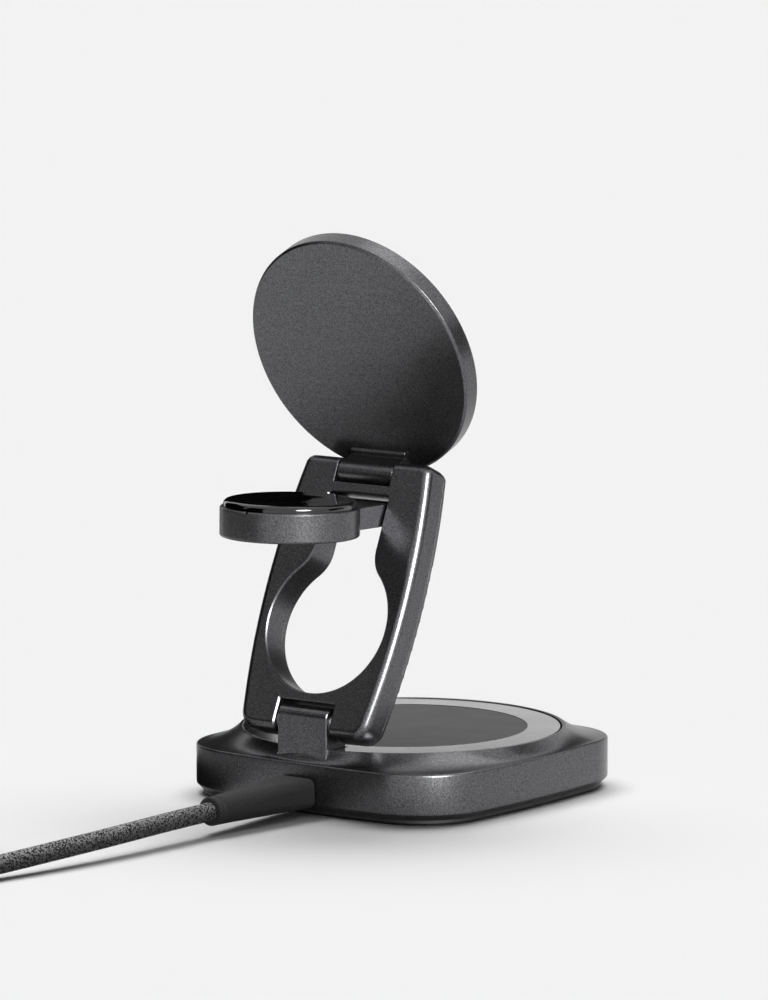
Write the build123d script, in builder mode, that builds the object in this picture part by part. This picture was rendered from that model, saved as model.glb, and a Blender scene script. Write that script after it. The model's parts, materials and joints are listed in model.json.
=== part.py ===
import os
from math import atan2, cos, pi, radians, sin, sqrt, tan

from build123d import *

# Folding charging stand: a weighted base with an earbud pad, an arm hinged to the back of the base,
# a magnetic phone disc hinged to the arm's top, and a watch charger that stows in the arm's window.
# Millimetres, +Z up, +Y to the back. The origin is on the table, under the middle of the base.

os.makedirs("parts", exist_ok=True)

# Clearances
seat_gap = 0.05         # between pieces that are fixed to each other
running_gap = 0.04      # radial, between a pin and what turns on it
washer_gap = 0.1        # each side of a friction washer
swing_gap = 0.35        # between a turning barrel and the slot round it
side_gap = 0.3          # between a turning piece and the cheeks beside it

# Base: a square with arched sides and round corners, whose shoulder rises to a circular rim
base_width = 79.5
base_side_radius = 300.0
base_corner_radius = 17.3
base_wall = 2.4
base_edge_chamfer = 1.3
wall_height = 10.55
shoulder_rise = 3.19
shoulder_bands = 4       # the hollow shoulder is a stack of ramps that steepen towards the rim
rim_margin = 2.05        # between the rim and the middle of each side
rim_width = 0.8

# Earbud pad in the rim, with its coil below
pad_groove = 0.5
pad_recess = 0.15
pad_thickness = 1.2
pad_ring_width = 7.5
inlay_recess = 0.1
coil_pocket_inset = 4.9  # coil pocket inside the inlay's edge
earbud_ferrite_inset = 2.0
earbud_coil_inset = 2.0
earbud_coil_width = 11.0
coil_thickness = 1.2
ferrite_thickness = 0.8
deck_thickness = 1.4

# Underside
foot_thickness = 0.9
foot_inset = 2.6
foot_recess = 0.3        # foot's seat in the bottom plate
lip_height = 0.8         # bottom plate's edge, in view below the wall
lip_inset = 1.6
plate_thickness = 1.6    # bottom plate inside the wall
screw_boss_radius = 3.0
screw_boss_reach = 26.0
screw_radius = 1.0
screw_head_radius = 1.9
screw_head_height = 0.9
screw_length = 7.0
ballast_width = 42.0
ballast_depth = 31.0
ballast_height = 6.6
ballast_corner = 3.0
ballast_chamfer = 0.5
ballast_edge = 1.5       # ballast's back face in front of the base's middle

# Socket and circuit board
port_height = 5.4
receptacle_width = 8.94
receptacle_height = 3.26
receptacle_length = 7.35
receptacle_wall = 0.3
receptacle_back = 0.6
receptacle_recess = 0.4
tongue_width = 6.69
tongue_thickness = 0.7
tongue_length = 4.5
board_width = 44.0
board_front = 2.0
board_thickness = 1.2
board_edge = 3.5         # board's back edge inside the base's back face
board_boss_radius = 2.2
board_boss_inset = 3.0
board_screw_radius = 0.8
board_screw_head_radius = 1.5
board_screw_head_height = 1.0
board_screw_length = 3.2
chip_size = 7.0
chip_height = 1.0
choke_size = 6.0
choke_height = 2.4

# Hinge block and arm
block_width = 14.0
block_overhang = 0.3     # block's back face behind the rim
block_corner = 1.8
block_chamfer = 0.25
knuckle_radius = 3.65
hinge_rise = 5.26        # arm hinge above the rim
block_screw_spread = 8.0
block_screw_length = 6.0
block_screw_head_height = 1.3
arm_lean = 23.31
arm_thickness = 7.5
cover_thickness = 1.2
rail_width = 3.93        # beside the widest part of the window
arm_side_bow = 2.88
foot_drop = 3.2          # arm's feet below the hinge
arm_foot_corner = 4.0
arm_top_corner = 2.4
arm_back_round = 1.9
arm_front_round = 0.5
arm_top_round = 3.2
arm_top_margin = 2.9     # arm's top above the disc hinge
window_bar = 2.0         # between the notch over the block and the window
window_round = 8.0
window_chamfer = 0.35
notch_chamfer = 0.4
slot_half_width = 8.5
slot_corner = 0.6
hinge_bar = 2.3          # between the watch hinge's slot and the disc hinge's notch
arm_pin_radius = 1.5
washer_radius = 3.0
washer_thickness = 0.6
pin_reach = 13.4         # each pin's closed end, from the middle
pin_setback = 1.0        # each pin's open end inside the arm's side
lead_width = 2.4
lead_thickness = 0.4
lead_start = 5.0         # above the arm hinge

# Phone disc
disc_radius = 29.46
disc_thickness = 4.5
disc_lean = 21.88
disc_setback = 5.16      # disc's back face in front of its hinge
disc_overhang = 2.42     # disc's lower edge below its hinge
disc_hinge_shift = 0.75  # disc hinge behind the arm's middle
disc_edge_chamfer = 0.5
disc_rim = 1.2
disc_ledge = 1.0
disc_back_wall = 1.0
disc_cover_thickness = 1.6
disc_barrel_radius = 2.9
disc_pin_radius = 1.1
tab_width = 15.4
tab_thickness = 1.4
tab_top = 4.04           # above the disc hinge
tab_bottom = 1.2         # below the disc hinge
tab_edge_chamfer = 0.4
tab_screw_spread = 9.0
tab_screw_rise = 1.6
tab_screw_radius = 0.7
tab_screw_head_radius = 1.3
tab_screw_head_height = 0.9
tab_screw_length = 2.2
magnet_count = 14
magnet_gap = 0.5
magnet_opening = 52.0    # degrees left open at the bottom
magnet_width = 3.6
phone_coil_inner = 8.0
phone_coil_outer = 20.5
phone_ferrite_radius = 22.0

# Watch charger
puck_radius = 15.8
puck_height = 6.76
puck_reach = 27.7        # cup's middle from its hinge
puck_lift = 0.35         # cup's middle height above its hinge
puck_tilt = 1.0
puck_window_gap = 0.7
puck_edge_round = 0.6
puck_barrel_radius = 2.75
puck_pin_radius = 1.0
neck_thickness = 5.0
cup_floor = 1.2
cup_ledge = 0.9
cup_rim = 0.75
cup_rim_depth = 2.8
cup_rim_chamfer = 0.25
rim_notch_width = 0.8
rim_notch_depth = 0.5
head_rise = 1.6
head_round = 1.1
head_dish_radius = 70.0
head_dish_depth = 0.5
watch_coil_inner = 6.5
watch_coil_outer = 12.5
watch_magnet_radius = 5.0
watch_ferrite_thickness = 0.7

# Plug and cord
plug_gap = 0.15
plug_width = 11.0
plug_thickness = 6.8
plug_corner = 1.8
plug_nose_round = 0.7
plug_taper_length = 29.5
plug_collar_length = 2.0
plug_collar_radius = 3.25
plug_shell_width = 8.25
plug_shell_height = 2.4
plug_shell_length = 6.2
plug_mouth_width = 7.0
plug_mouth_height = 1.1
plug_mouth_depth = 5.0
cord_radius = 2.1
tie_thickness = 0.8
tie_width = 8.0
coil_turn_radius = 25.2
coil_layers = 3
far_plug_angle = -30.0
tie_angle = 100.0
corner_share = 0.45      # of the shorter run beside it, taken by each bend of the cord

# Heights in the base
base_half = base_width / 2
rim_radius = base_half - rim_margin
lip_bottom = foot_thickness - foot_recess
wall_bottom = lip_bottom + lip_height
crest_height = wall_bottom + wall_height
rim_height = crest_height + shoulder_rise
pad_floor = rim_height - pad_recess - pad_thickness
coil_floor = pad_floor - coil_thickness - ferrite_thickness
deck_underside = coil_floor - deck_thickness
plate_top = wall_bottom + plate_thickness
board_bottom = port_height + receptacle_height / 2
board_top = board_bottom + board_thickness
board_back = base_half - board_edge
pocket_radius = rim_radius - rim_width
pad_radius = pocket_radius - pad_groove
inlay_radius = pad_radius - pad_ring_width
coil_pocket_radius = inlay_radius - coil_pocket_inset
earbud_ferrite_radius = coil_pocket_radius - earbud_ferrite_inset
earbud_coil_radius = earbud_ferrite_radius - earbud_coil_inset

# Arm hinge, and distances up the arm from it
arm_hinge_y = rim_radius + block_overhang - knuckle_radius
arm_hinge_z = rim_height + hinge_rise
notch_half_width = block_width / 2 + washer_thickness + 2 * washer_gap
notch_top = knuckle_radius + swing_gap
window_radius = puck_radius + puck_window_gap
window_middle = notch_top + window_bar + window_radius
puck_hinge_up = window_middle + puck_reach
slot_top = puck_hinge_up + puck_barrel_radius + swing_gap
disc_notch_bottom = slot_top + hinge_bar
disc_hinge_up = disc_notch_bottom + swing_gap + disc_barrel_radius
arm_top = disc_hinge_up + arm_top_margin
arm_half_width = window_radius + rail_width
arm_end_half_width = arm_half_width - arm_side_bow
arm_middle = (arm_top - foot_drop) / 2

# Directions and planes: the arm's plane faces the front, its side plane faces +X
lean = radians(arm_lean)
up_arm = Vector(0, -sin(lean), cos(lean))
behind_arm = Vector(0, cos(lean), sin(lean))
arm_hinge = Vector(0, arm_hinge_y, arm_hinge_z)
arm_plane = Plane(origin=arm_hinge, x_dir=(1, 0, 0), z_dir=-behind_arm)
arm_side_plane = Plane(origin=arm_hinge, x_dir=behind_arm, z_dir=(1, 0, 0))
parting_plane = arm_plane.offset(arm_thickness / 2 - cover_thickness)

tilt = radians(disc_lean)
behind_disc = Vector(0, cos(tilt), -sin(tilt))
disc_hinge = arm_hinge + up_arm * disc_hinge_up + behind_arm * disc_hinge_shift
disc_plane = Plane(origin=disc_hinge, x_dir=(1, 0, 0), z_dir=-behind_disc)
disc_side_plane = Plane(origin=disc_hinge, x_dir=behind_disc, z_dir=(1, 0, 0))
disc_middle = disc_radius - disc_overhang

puck_rise = radians(puck_tilt)
along_neck = Vector(0, cos(puck_rise), sin(puck_rise))
above_neck = Vector(0, -sin(puck_rise), cos(puck_rise))
puck_hinge = arm_hinge + up_arm * puck_hinge_up
puck_plane = Plane(origin=puck_hinge, x_dir=(1, 0, 0), z_dir=above_neck)
puck_side_plane = Plane(origin=puck_hinge, x_dir=along_neck, z_dir=(1, 0, 0))

# The socket's plane faces the front, at the base's back face
port_plane = Plane(origin=(0, base_half, port_height), x_dir=(1, 0, 0), z_dir=(0, -1, 0))


# Middle of a side, end of its arc and middle of a corner, on a square with arched sides and round corners
def squircle_points(half, side_radius, corner_radius):
    side_centre = half - side_radius
    corner_centre = (side_centre + sqrt(2 * (side_radius - corner_radius) ** 2 - side_centre**2)) / 2
    turn = atan2(corner_centre, corner_centre - side_centre)
    tangent = Vector(side_centre + side_radius * cos(turn), side_radius * sin(turn))
    corner = corner_centre + corner_radius * sqrt(0.5)
    return Vector(half, 0), tangent, Vector(corner, corner)


# The same three points on a circle, at the same bearings
def circle_points(radius, like):
    return tuple(point.normalized() * radius for point in like)


# The outline set in by an even wall
def inset_points(inset):
    return squircle_points(base_half - inset, base_side_radius - inset, base_corner_radius - inset)


# A face bounded by eight arcs: the three points of one octant, repeated round the four sides
def arc_outline(points):
    side, tangent, corner = points
    start = Vector(tangent.X, -tangent.Y)
    end = Vector(tangent.Y, tangent.X)
    with BuildLine() as outline:
        for quarter in range(4):
            turned = [point.rotate(Axis.Z, 90 * quarter) for point in (start, side, tangent, corner, end)]
            ThreePointArc(turned[0], turned[1], turned[2])
            ThreePointArc(turned[2], turned[3], turned[4])
    make_face(outline.edges())


# Closed end of a pin across the arm, at a distance up the arm and behind its middle
def pin_seat(up, behind):
    end = arm_hinge + up_arm * up + behind_arm * behind - Vector(pin_reach, 0, 0)
    return Plane(end, z_dir=(1, 0, 0)).location


wall_points = inset_points(0)
rim_points = circle_points(rim_radius, wall_points)
boss_reaches = (-screw_boss_reach, screw_boss_reach)
corner_spots = [(x, y) for x in boss_reaches for y in boss_reaches]
board_spot_x = board_width / 2 - board_boss_inset
board_spot_ys = (board_front + board_boss_inset, board_back - board_boss_inset)
board_spots = [(x, y) for x in (-board_spot_x, board_spot_x) for y in board_spot_ys]
block_spots = [(x, arm_hinge_y) for x in (-block_screw_spread / 2, block_screw_spread / 2)]
upward = (Align.CENTER, Align.CENTER, Align.MIN)
downward = (Align.CENTER, Align.CENTER, Align.MAX)

# Base housing: wall, hollow shoulder and rim, open below, with bosses under its deck
with BuildPart() as base_housing:
    with BuildSketch(Plane.XY.offset(wall_bottom)):
        arc_outline(wall_points)
    extrude(amount=wall_height)
    chamfer(base_housing.faces().sort_by(Axis.Z)[0].edges(), base_edge_chamfer)
    for band in range(shoulder_bands + 1):
        inward = band / shoulder_bands
        with BuildSketch(Plane.XY.offset(crest_height + shoulder_rise * inward**2)):
            arc_outline([low + (high - low) * inward for low, high in zip(wall_points, rim_points)])
    loft(ruled=True)
    with BuildSketch(Plane.XY.offset(wall_bottom)):
        arc_outline(inset_points(base_wall))
    extrude(amount=deck_underside - wall_bottom, mode=Mode.SUBTRACT)
    with BuildSketch(Plane.XY.offset(pad_floor)):
        Circle(pocket_radius)
    extrude(amount=rim_height - pad_floor, mode=Mode.SUBTRACT)
    with BuildSketch(Plane.XY.offset(coil_floor)):
        Circle(coil_pocket_radius)
    extrude(amount=pad_floor - coil_floor, mode=Mode.SUBTRACT)
    with BuildSketch(Plane.XY.offset(coil_floor)):
        with Locations((0, arm_hinge_y)):
            Rectangle(block_width + 2 * seat_gap, 2 * (knuckle_radius + seat_gap))
    extrude(amount=rim_height - coil_floor, mode=Mode.SUBTRACT)
    with BuildSketch(Plane.XY.offset(deck_underside)):
        with Locations(*corner_spots):
            Circle(screw_boss_radius)
    extrude(amount=plate_top - deck_underside)
    with BuildSketch(Plane.XY.offset(deck_underside)):
        with Locations(*board_spots):
            Circle(board_boss_radius)
    extrude(amount=board_top - deck_underside)
    with Locations(*[(x, y, plate_top) for x, y in corner_spots]):
        Cylinder(screw_radius + seat_gap, screw_length, align=upward, mode=Mode.SUBTRACT)
    with Locations(*[(x, y, board_top) for x, y in board_spots]):
        Cylinder(board_screw_radius + seat_gap, board_screw_length, align=upward, mode=Mode.SUBTRACT)
    with Locations(*[(x, y, deck_underside) for x, y in block_spots]):
        Cylinder(screw_radius + seat_gap, deck_thickness, align=upward, mode=Mode.SUBTRACT)
    with BuildSketch(port_plane):
        SlotOverall(receptacle_width + 2 * seat_gap, receptacle_height + 2 * seat_gap)
    extrude(amount=2 * base_wall, mode=Mode.SUBTRACT)
base_housing.part.label = "base_housing"
export_step(base_housing.part, "parts/base_housing.step")

# Pad ring: metal plate in the rim, cut back round the hinge block
with BuildPart() as pad_ring:
    with BuildSketch(Plane.XY.offset(pad_floor)):
        Circle(pad_radius)
        Circle(inlay_radius, mode=Mode.SUBTRACT)
        with Locations((0, arm_hinge_y + pad_radius / 2)):
            Rectangle(
                block_width + 2 * pad_groove,
                2 * knuckle_radius + 2 * pad_groove + pad_radius,
                mode=Mode.SUBTRACT,
            )
    extrude(amount=pad_thickness)
pad_ring.part.label = "pad_ring"
export_step(pad_ring.part, "parts/pad_ring.step")

# Pad inlay: round charging surface inside the ring, over the coil
with BuildPart() as pad_inlay:
    with BuildSketch(Plane.XY.offset(pad_floor)):
        Circle(inlay_radius - seat_gap)
    extrude(amount=pad_thickness - inlay_recess)
pad_inlay.part.label = "pad_inlay"
export_step(pad_inlay.part, "parts/pad_inlay.step")

# Earbud coil and the ferrite sheet below it
with BuildPart() as earbud_coil:
    with BuildSketch(Plane.XY.offset(coil_floor + ferrite_thickness)):
        Circle(earbud_coil_radius)
        Circle(earbud_coil_radius - earbud_coil_width, mode=Mode.SUBTRACT)
    extrude(amount=coil_thickness)
earbud_coil.part.label = "earbud_coil"
export_step(earbud_coil.part, "parts/earbud_coil.step")

with BuildPart() as earbud_ferrite:
    with BuildSketch(Plane.XY.offset(coil_floor)):
        Circle(earbud_ferrite_radius)
    extrude(amount=ferrite_thickness)
earbud_ferrite.part.label = "earbud_ferrite"
export_step(earbud_ferrite.part, "parts/earbud_ferrite.step")

# Bottom plate: its lip shows below the wall; seat for the foot, countersunk for four screws into the bosses
with BuildPart() as bottom_plate:
    with BuildSketch(Plane.XY.offset(lip_bottom)):
        arc_outline(inset_points(lip_inset))
    extrude(amount=lip_height)
    with BuildSketch(Plane.XY.offset(wall_bottom)):
        arc_outline(inset_points(base_wall + seat_gap))
    extrude(amount=plate_thickness)
    with BuildSketch(Plane.XY.offset(lip_bottom)):
        arc_outline(inset_points(foot_inset - seat_gap))
    extrude(amount=foot_recess, mode=Mode.SUBTRACT)
    with Locations(*[(x, y, foot_thickness) for x, y in corner_spots]):
        Cylinder(screw_radius + seat_gap, plate_top - foot_thickness, align=upward, mode=Mode.SUBTRACT)
        Cone(
            screw_head_radius + seat_gap,
            screw_radius + seat_gap,
            screw_head_height,
            align=upward,
            mode=Mode.SUBTRACT,
        )
bottom_plate.part.label = "bottom_plate"
export_step(bottom_plate.part, "parts/bottom_plate.step")

with BuildPart() as bottom_screws:
    with Locations(*[(x, y, foot_thickness) for x, y in corner_spots]):
        Cylinder(screw_radius, screw_length, align=upward)
        Cone(screw_head_radius, screw_radius, screw_head_height, align=upward)
bottom_screws.part.label = "bottom_screws"
export_step(bottom_screws.part, "parts/bottom_screws.step")

# Foot: one silicone pad that covers the bottom plate and its screws
with BuildPart() as base_foot:
    with BuildSketch():
        arc_outline(inset_points(foot_inset))
    extrude(amount=foot_thickness)
base_foot.part.label = "base_foot"
export_step(base_foot.part, "parts/base_foot.step")

# Ballast: steel block in the front half of the base
with BuildPart() as ballast_weight:
    with BuildSketch(Plane.XY.offset(plate_top)):
        with Locations((0, -ballast_edge - ballast_depth / 2)):
            RectangleRounded(ballast_width, ballast_depth, ballast_corner)
    extrude(amount=ballast_height)
    chamfer(ballast_weight.faces().sort_by(Axis.Z)[-1].edges(), ballast_chamfer)
ballast_weight.part.label = "ballast_weight"
export_step(ballast_weight.part, "parts/ballast_weight.step")

# Main board, screwed under the deck, with its parts and the socket on its lower face
with BuildPart() as main_board:
    with BuildSketch(Plane.XY.offset(board_bottom)):
        with Locations((0, (board_front + board_back) / 2)):
            Rectangle(board_width, board_back - board_front)
        with Locations(*board_spots):
            Circle(board_screw_radius + seat_gap, mode=Mode.SUBTRACT)
    extrude(amount=board_thickness)
main_board.part.label = "main_board"
export_step(main_board.part, "parts/main_board.step")

with BuildPart() as board_screws:
    with Locations(*[(x, y, board_bottom) for x, y in board_spots]):
        Cylinder(board_screw_radius, board_screw_length, align=upward)
        Cylinder(board_screw_head_radius, board_screw_head_height, align=downward)
board_screws.part.label = "board_screws"
export_step(board_screws.part, "parts/board_screws.step")

with BuildPart() as board_chips:
    with Locations((0, board_front + chip_size, board_bottom)):
        Box(chip_size, chip_size, chip_height, align=downward)
    with Locations(*[(x, board_front + chip_size, board_bottom) for x in (-2 * choke_size, 2 * choke_size)]):
        Box(choke_size, choke_size, choke_height, align=downward)
board_chips.part.label = "board_chips"
export_step(board_chips.part, "parts/board_chips.step")

# Socket: drawn steel shell, closed at its inner end, and the moulded tongue inside it
with BuildPart() as receptacle_shell:
    with BuildSketch(port_plane.offset(receptacle_recess)):
        SlotOverall(receptacle_width, receptacle_height)
    extrude(amount=receptacle_length)
    with BuildSketch(port_plane.offset(receptacle_recess)):
        SlotOverall(receptacle_width - 2 * receptacle_wall, receptacle_height - 2 * receptacle_wall)
    extrude(amount=receptacle_length - receptacle_back, mode=Mode.SUBTRACT)
receptacle_shell.part.label = "receptacle_shell"
export_step(receptacle_shell.part, "parts/receptacle_shell.step")

with BuildPart() as receptacle_tongue:
    with BuildSketch(port_plane.offset(receptacle_recess + receptacle_length - receptacle_back)):
        Rectangle(tongue_width, tongue_thickness)
    extrude(amount=-tongue_length)
receptacle_tongue.part.label = "receptacle_tongue"
export_step(receptacle_tongue.part, "parts/receptacle_tongue.step")

# Hinge block: knuckle on a stem that is let into the rim and screwed from below
block_top = arm_hinge_z + knuckle_radius
with BuildPart() as hinge_block:
    with BuildSketch(Plane.YZ) as block_profile:
        with Locations((arm_hinge_y, (coil_floor + block_top) / 2)):
            Rectangle(2 * knuckle_radius, block_top - coil_floor)
        fillet(block_profile.vertices().group_by(Axis.Y)[-1].sort_by(Axis.X)[0], knuckle_radius)
        fillet(block_profile.vertices().sort_by(Axis.Y)[-1], min(block_corner, knuckle_radius / 2))
        with Locations((arm_hinge_y, arm_hinge_z)):
            Circle(arm_pin_radius + running_gap, mode=Mode.SUBTRACT)
    extrude(amount=block_width / 2, both=True)
    block_sides = hinge_block.faces().filter_by(Axis.X)
    for side in block_sides:
        chamfer(side.outer_wire().edges().sort_by(Axis.Z)[1:], block_chamfer)
    with Locations(*[(x, y, coil_floor) for x, y in block_spots]):
        Cylinder(
            screw_radius + seat_gap,
            block_screw_length - deck_thickness + seat_gap,
            align=upward,
            mode=Mode.SUBTRACT,
        )
hinge_block.part.label = "hinge_block"
export_step(hinge_block.part, "parts/hinge_block.step")

with BuildPart() as block_screws:
    with Locations(*[(x, y, deck_underside) for x, y in block_spots]):
        Cylinder(screw_radius, block_screw_length, align=upward)
        Cylinder(screw_head_radius, block_screw_head_height, align=downward)
block_screws.part.label = "block_screws"
export_step(block_screws.part, "parts/block_screws.step")

# Pins of the arm, watch and disc hinges, pressed into the arm's rails
pin_seats = (pin_seat(0, 0), pin_seat(puck_hinge_up, 0), pin_seat(disc_hinge_up, disc_hinge_shift))
pin_radii = (arm_pin_radius, puck_pin_radius, disc_pin_radius)
pin_length = pin_reach + arm_end_half_width - pin_setback

# Whole arm before it is parted: bowed plate, rounded edges, keyhole window, notches and pin bores
with BuildPart() as arm_body:
    with BuildSketch(arm_plane.offset(-arm_thickness / 2)) as arm_outline:
        with BuildLine():
            feet = Line((-arm_end_half_width, -foot_drop), (arm_end_half_width, -foot_drop))
            right = ThreePointArc(feet @ 1, (arm_half_width, arm_middle), (arm_end_half_width, arm_top))
            top = Line(right @ 1, (-arm_end_half_width, arm_top))
            ThreePointArc(top @ 1, (-arm_half_width, arm_middle), feet @ 0)
        make_face()
        fillet(arm_outline.vertices().group_by(Axis.Y)[0], arm_foot_corner)
        fillet(arm_outline.vertices().group_by(Axis.Y)[-1], arm_top_corner)
    extrude(amount=arm_thickness)
    arm_faces = arm_body.faces().filter_by(arm_plane).sort_by(Axis(arm_hinge, behind_arm))
    fillet(arm_faces[-1].edges(), arm_back_round)
    arm_faces = arm_body.faces().filter_by(arm_plane).sort_by(Axis(arm_hinge, behind_arm))
    fillet(arm_faces[0].edges(), arm_front_round)
    with BuildSketch(arm_side_plane) as arm_profile:
        with Locations((arm_thickness / 2, arm_middle)):
            Rectangle(2 * arm_thickness, arm_top + foot_drop)
        fillet(arm_profile.vertices().group_by(Axis.Y)[-1].sort_by(Axis.X)[0], arm_top_round)
    extrude(amount=arm_half_width, both=True, mode=Mode.INTERSECT)
    with BuildSketch(arm_plane) as window:
        with Locations((0, (window_middle + slot_top) / 2)):
            Rectangle(2 * slot_half_width, slot_top - window_middle)
        fillet(window.vertices().group_by(Axis.Y)[-1], slot_corner)
        with Locations((0, window_middle)):
            Circle(window_radius)
        throat = window_middle + sqrt(window_radius**2 - slot_half_width**2)
        throat_corners = window.vertices().filter_by_position(Axis.Y, throat - seat_gap, throat + seat_gap)
        fillet(throat_corners, window_round)
    extrude(amount=arm_thickness, both=True, mode=Mode.SUBTRACT)
    back_face = arm_body.faces().filter_by(arm_plane).sort_by(Axis(arm_hinge, behind_arm))[-1]
    chamfer(back_face.inner_wires()[0].edges(), window_chamfer)
    with BuildSketch(arm_plane):
        with Locations((0, (notch_top - 2 * foot_drop) / 2)):
            Rectangle(2 * notch_half_width, notch_top + 2 * foot_drop)
        with Locations((0, (disc_notch_bottom + arm_top + arm_top_margin) / 2)):
            Rectangle(tab_width + 2 * side_gap, arm_top + arm_top_margin - disc_notch_bottom)
    extrude(amount=arm_thickness, both=True, mode=Mode.SUBTRACT)
    back_face = arm_body.faces().filter_by(arm_plane).sort_by(Axis(arm_hinge, behind_arm))[-1]
    straight_edges = back_face.edges().filter_by(GeomType.LINE)
    notch_edges = straight_edges.filter_by_position(Axis.X, -notch_half_width, notch_half_width)
    chamfer(notch_edges.sort_by(Axis(arm_hinge, up_arm))[:3], notch_chamfer)
    for seat, radius in zip(pin_seats, pin_radii):
        with Locations(seat):
            Cylinder(radius + seat_gap / 2, pin_reach + arm_half_width, align=upward, mode=Mode.SUBTRACT)

# Arm frame: the back of the arm, with a channel for the flat lead in one rail
lead_middle = (lead_start + disc_notch_bottom) / 2
lead_reach = arm_half_width - rail_width / 2
lead_end_reach = lead_reach - arm_side_bow / 2
lead_arc = (
    (-lead_end_reach, lead_start),
    (-lead_reach, lead_middle),
    (-lead_end_reach, disc_notch_bottom),
)
with BuildPart() as arm_frame:
    add(arm_body.part)
    split(bisect_by=parting_plane, keep=Keep.BOTTOM)
    with BuildSketch(parting_plane) as lead_path:
        with BuildLine():
            ThreePointArc(*lead_arc)
        trace(line_width=lead_width + 2 * seat_gap)
    extrude(amount=-lead_thickness - seat_gap, mode=Mode.SUBTRACT)
arm_frame.part.label = "arm_frame"
export_step(arm_frame.part, "parts/arm_frame.step")

# Arm front cover: thin plate that closes the lead's channel
with BuildPart() as arm_cover:
    add(arm_body.part)
    split(bisect_by=parting_plane, keep=Keep.TOP)
arm_cover.part.label = "arm_cover"
export_step(arm_cover.part, "parts/arm_cover.step")

with BuildPart() as arm_lead:
    with BuildSketch(parting_plane):
        with BuildLine():
            ThreePointArc(*lead_arc)
        trace(line_width=lead_width)
    extrude(amount=-lead_thickness)
arm_lead.part.label = "arm_lead"
export_step(arm_lead.part, "parts/arm_lead.step")

with BuildPart() as arm_hinge_pin:
    with Locations(pin_seats[0]):
        Cylinder(arm_pin_radius, pin_length, align=upward)
arm_hinge_pin.part.label = "arm_hinge_pin"
export_step(arm_hinge_pin.part, "parts/arm_hinge_pin.step")

with BuildPart() as watch_hinge_pin:
    with Locations(pin_seats[1]):
        Cylinder(puck_pin_radius, pin_length, align=upward)
watch_hinge_pin.part.label = "watch_hinge_pin"
export_step(watch_hinge_pin.part, "parts/watch_hinge_pin.step")

with BuildPart() as disc_hinge_pin:
    with Locations(pin_seats[2]):
        Cylinder(disc_pin_radius, pin_length, align=upward)
disc_hinge_pin.part.label = "disc_hinge_pin"
export_step(disc_hinge_pin.part, "parts/disc_hinge_pin.step")

# Friction washers between the block and the arm's feet
with BuildPart() as hinge_washers:
    with BuildSketch(arm_side_plane.offset(block_width / 2 + washer_gap)):
        Circle(washer_radius)
        Circle(arm_pin_radius + seat_gap / 2, mode=Mode.SUBTRACT)
    extrude(amount=washer_thickness)
    mirror(about=Plane.YZ)
hinge_washers.part.label = "hinge_washers"
export_step(hinge_washers.part, "parts/hinge_washers.step")

# Phone disc: back shell with a ledge for its cover, and the screw holes of the hinge tab
disc_cavity_radius = disc_radius - disc_rim - disc_ledge
disc_inner = disc_setback + disc_back_wall
disc_front = disc_setback + disc_thickness
disc_ledge_height = disc_front - disc_cover_thickness
tab_spots = [(x, tab_screw_rise) for x in (-tab_screw_spread / 2, tab_screw_spread / 2)]
with BuildPart() as disc_shell:
    with BuildSketch(disc_plane.offset(disc_setback)):
        with Locations((0, disc_middle)):
            Circle(disc_radius)
    extrude(amount=disc_thickness)
    disc_back = disc_shell.faces().sort_by(Axis(disc_hinge, behind_disc))[-1]
    chamfer(disc_back.edges(), disc_edge_chamfer)
    with BuildSketch(disc_plane.offset(disc_inner)):
        with Locations((0, disc_middle)):
            Circle(disc_cavity_radius)
    extrude(amount=disc_thickness, mode=Mode.SUBTRACT)
    with BuildSketch(disc_plane.offset(disc_ledge_height)):
        with Locations((0, disc_middle)):
            Circle(disc_radius - disc_rim)
    extrude(amount=disc_thickness, mode=Mode.SUBTRACT)
    with BuildSketch(disc_plane.offset(disc_setback)):
        with Locations(*tab_spots):
            Circle(tab_screw_radius + seat_gap)
    extrude(amount=disc_back_wall, mode=Mode.SUBTRACT)
disc_shell.part.label = "disc_shell"
export_step(disc_shell.part, "parts/disc_shell.step")

with BuildPart() as disc_cover:
    with BuildSketch(disc_plane.offset(disc_ledge_height)):
        with Locations((0, disc_middle)):
            Circle(disc_radius - disc_rim - seat_gap)
    extrude(amount=disc_cover_thickness)
disc_cover.part.label = "disc_cover"
export_step(disc_cover.part, "parts/disc_cover.step")

# Ring of magnets, open at the bottom over the tab's screws
magnet_step = (360 - magnet_opening) / magnet_count
magnet_outer = disc_cavity_radius - 2 * seat_gap
magnet_inner = magnet_outer - magnet_width
magnet_start = magnet_opening / 2 - 90
with BuildPart() as magnet_ring:
    with BuildSketch(disc_plane.offset(disc_inner)):
        with Locations((0, disc_middle)):
            Circle(magnet_outer)
            Circle(magnet_inner, mode=Mode.SUBTRACT)
            with PolarLocations(
                magnet_outer,
                magnet_count - 1,
                magnet_start + magnet_step,
                360 - magnet_opening - 2 * magnet_step,
                endpoint=True,
            ):
                Rectangle(4 * magnet_width, magnet_gap, mode=Mode.SUBTRACT)
        with Locations((0, disc_middle - magnet_outer)):
            Rectangle(2 * magnet_outer * sin(radians(magnet_opening / 2)), magnet_outer, mode=Mode.SUBTRACT)
    extrude(amount=disc_ledge_height - disc_inner)
magnet_ring.part.label = "magnet_ring"
export_step(magnet_ring.part, "parts/magnet_ring.step")

with BuildPart() as phone_ferrite:
    with BuildSketch(disc_plane.offset(disc_inner)):
        with Locations((0, disc_middle)):
            Circle(phone_ferrite_radius)
    extrude(amount=ferrite_thickness)
phone_ferrite.part.label = "phone_ferrite"
export_step(phone_ferrite.part, "parts/phone_ferrite.step")

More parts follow.
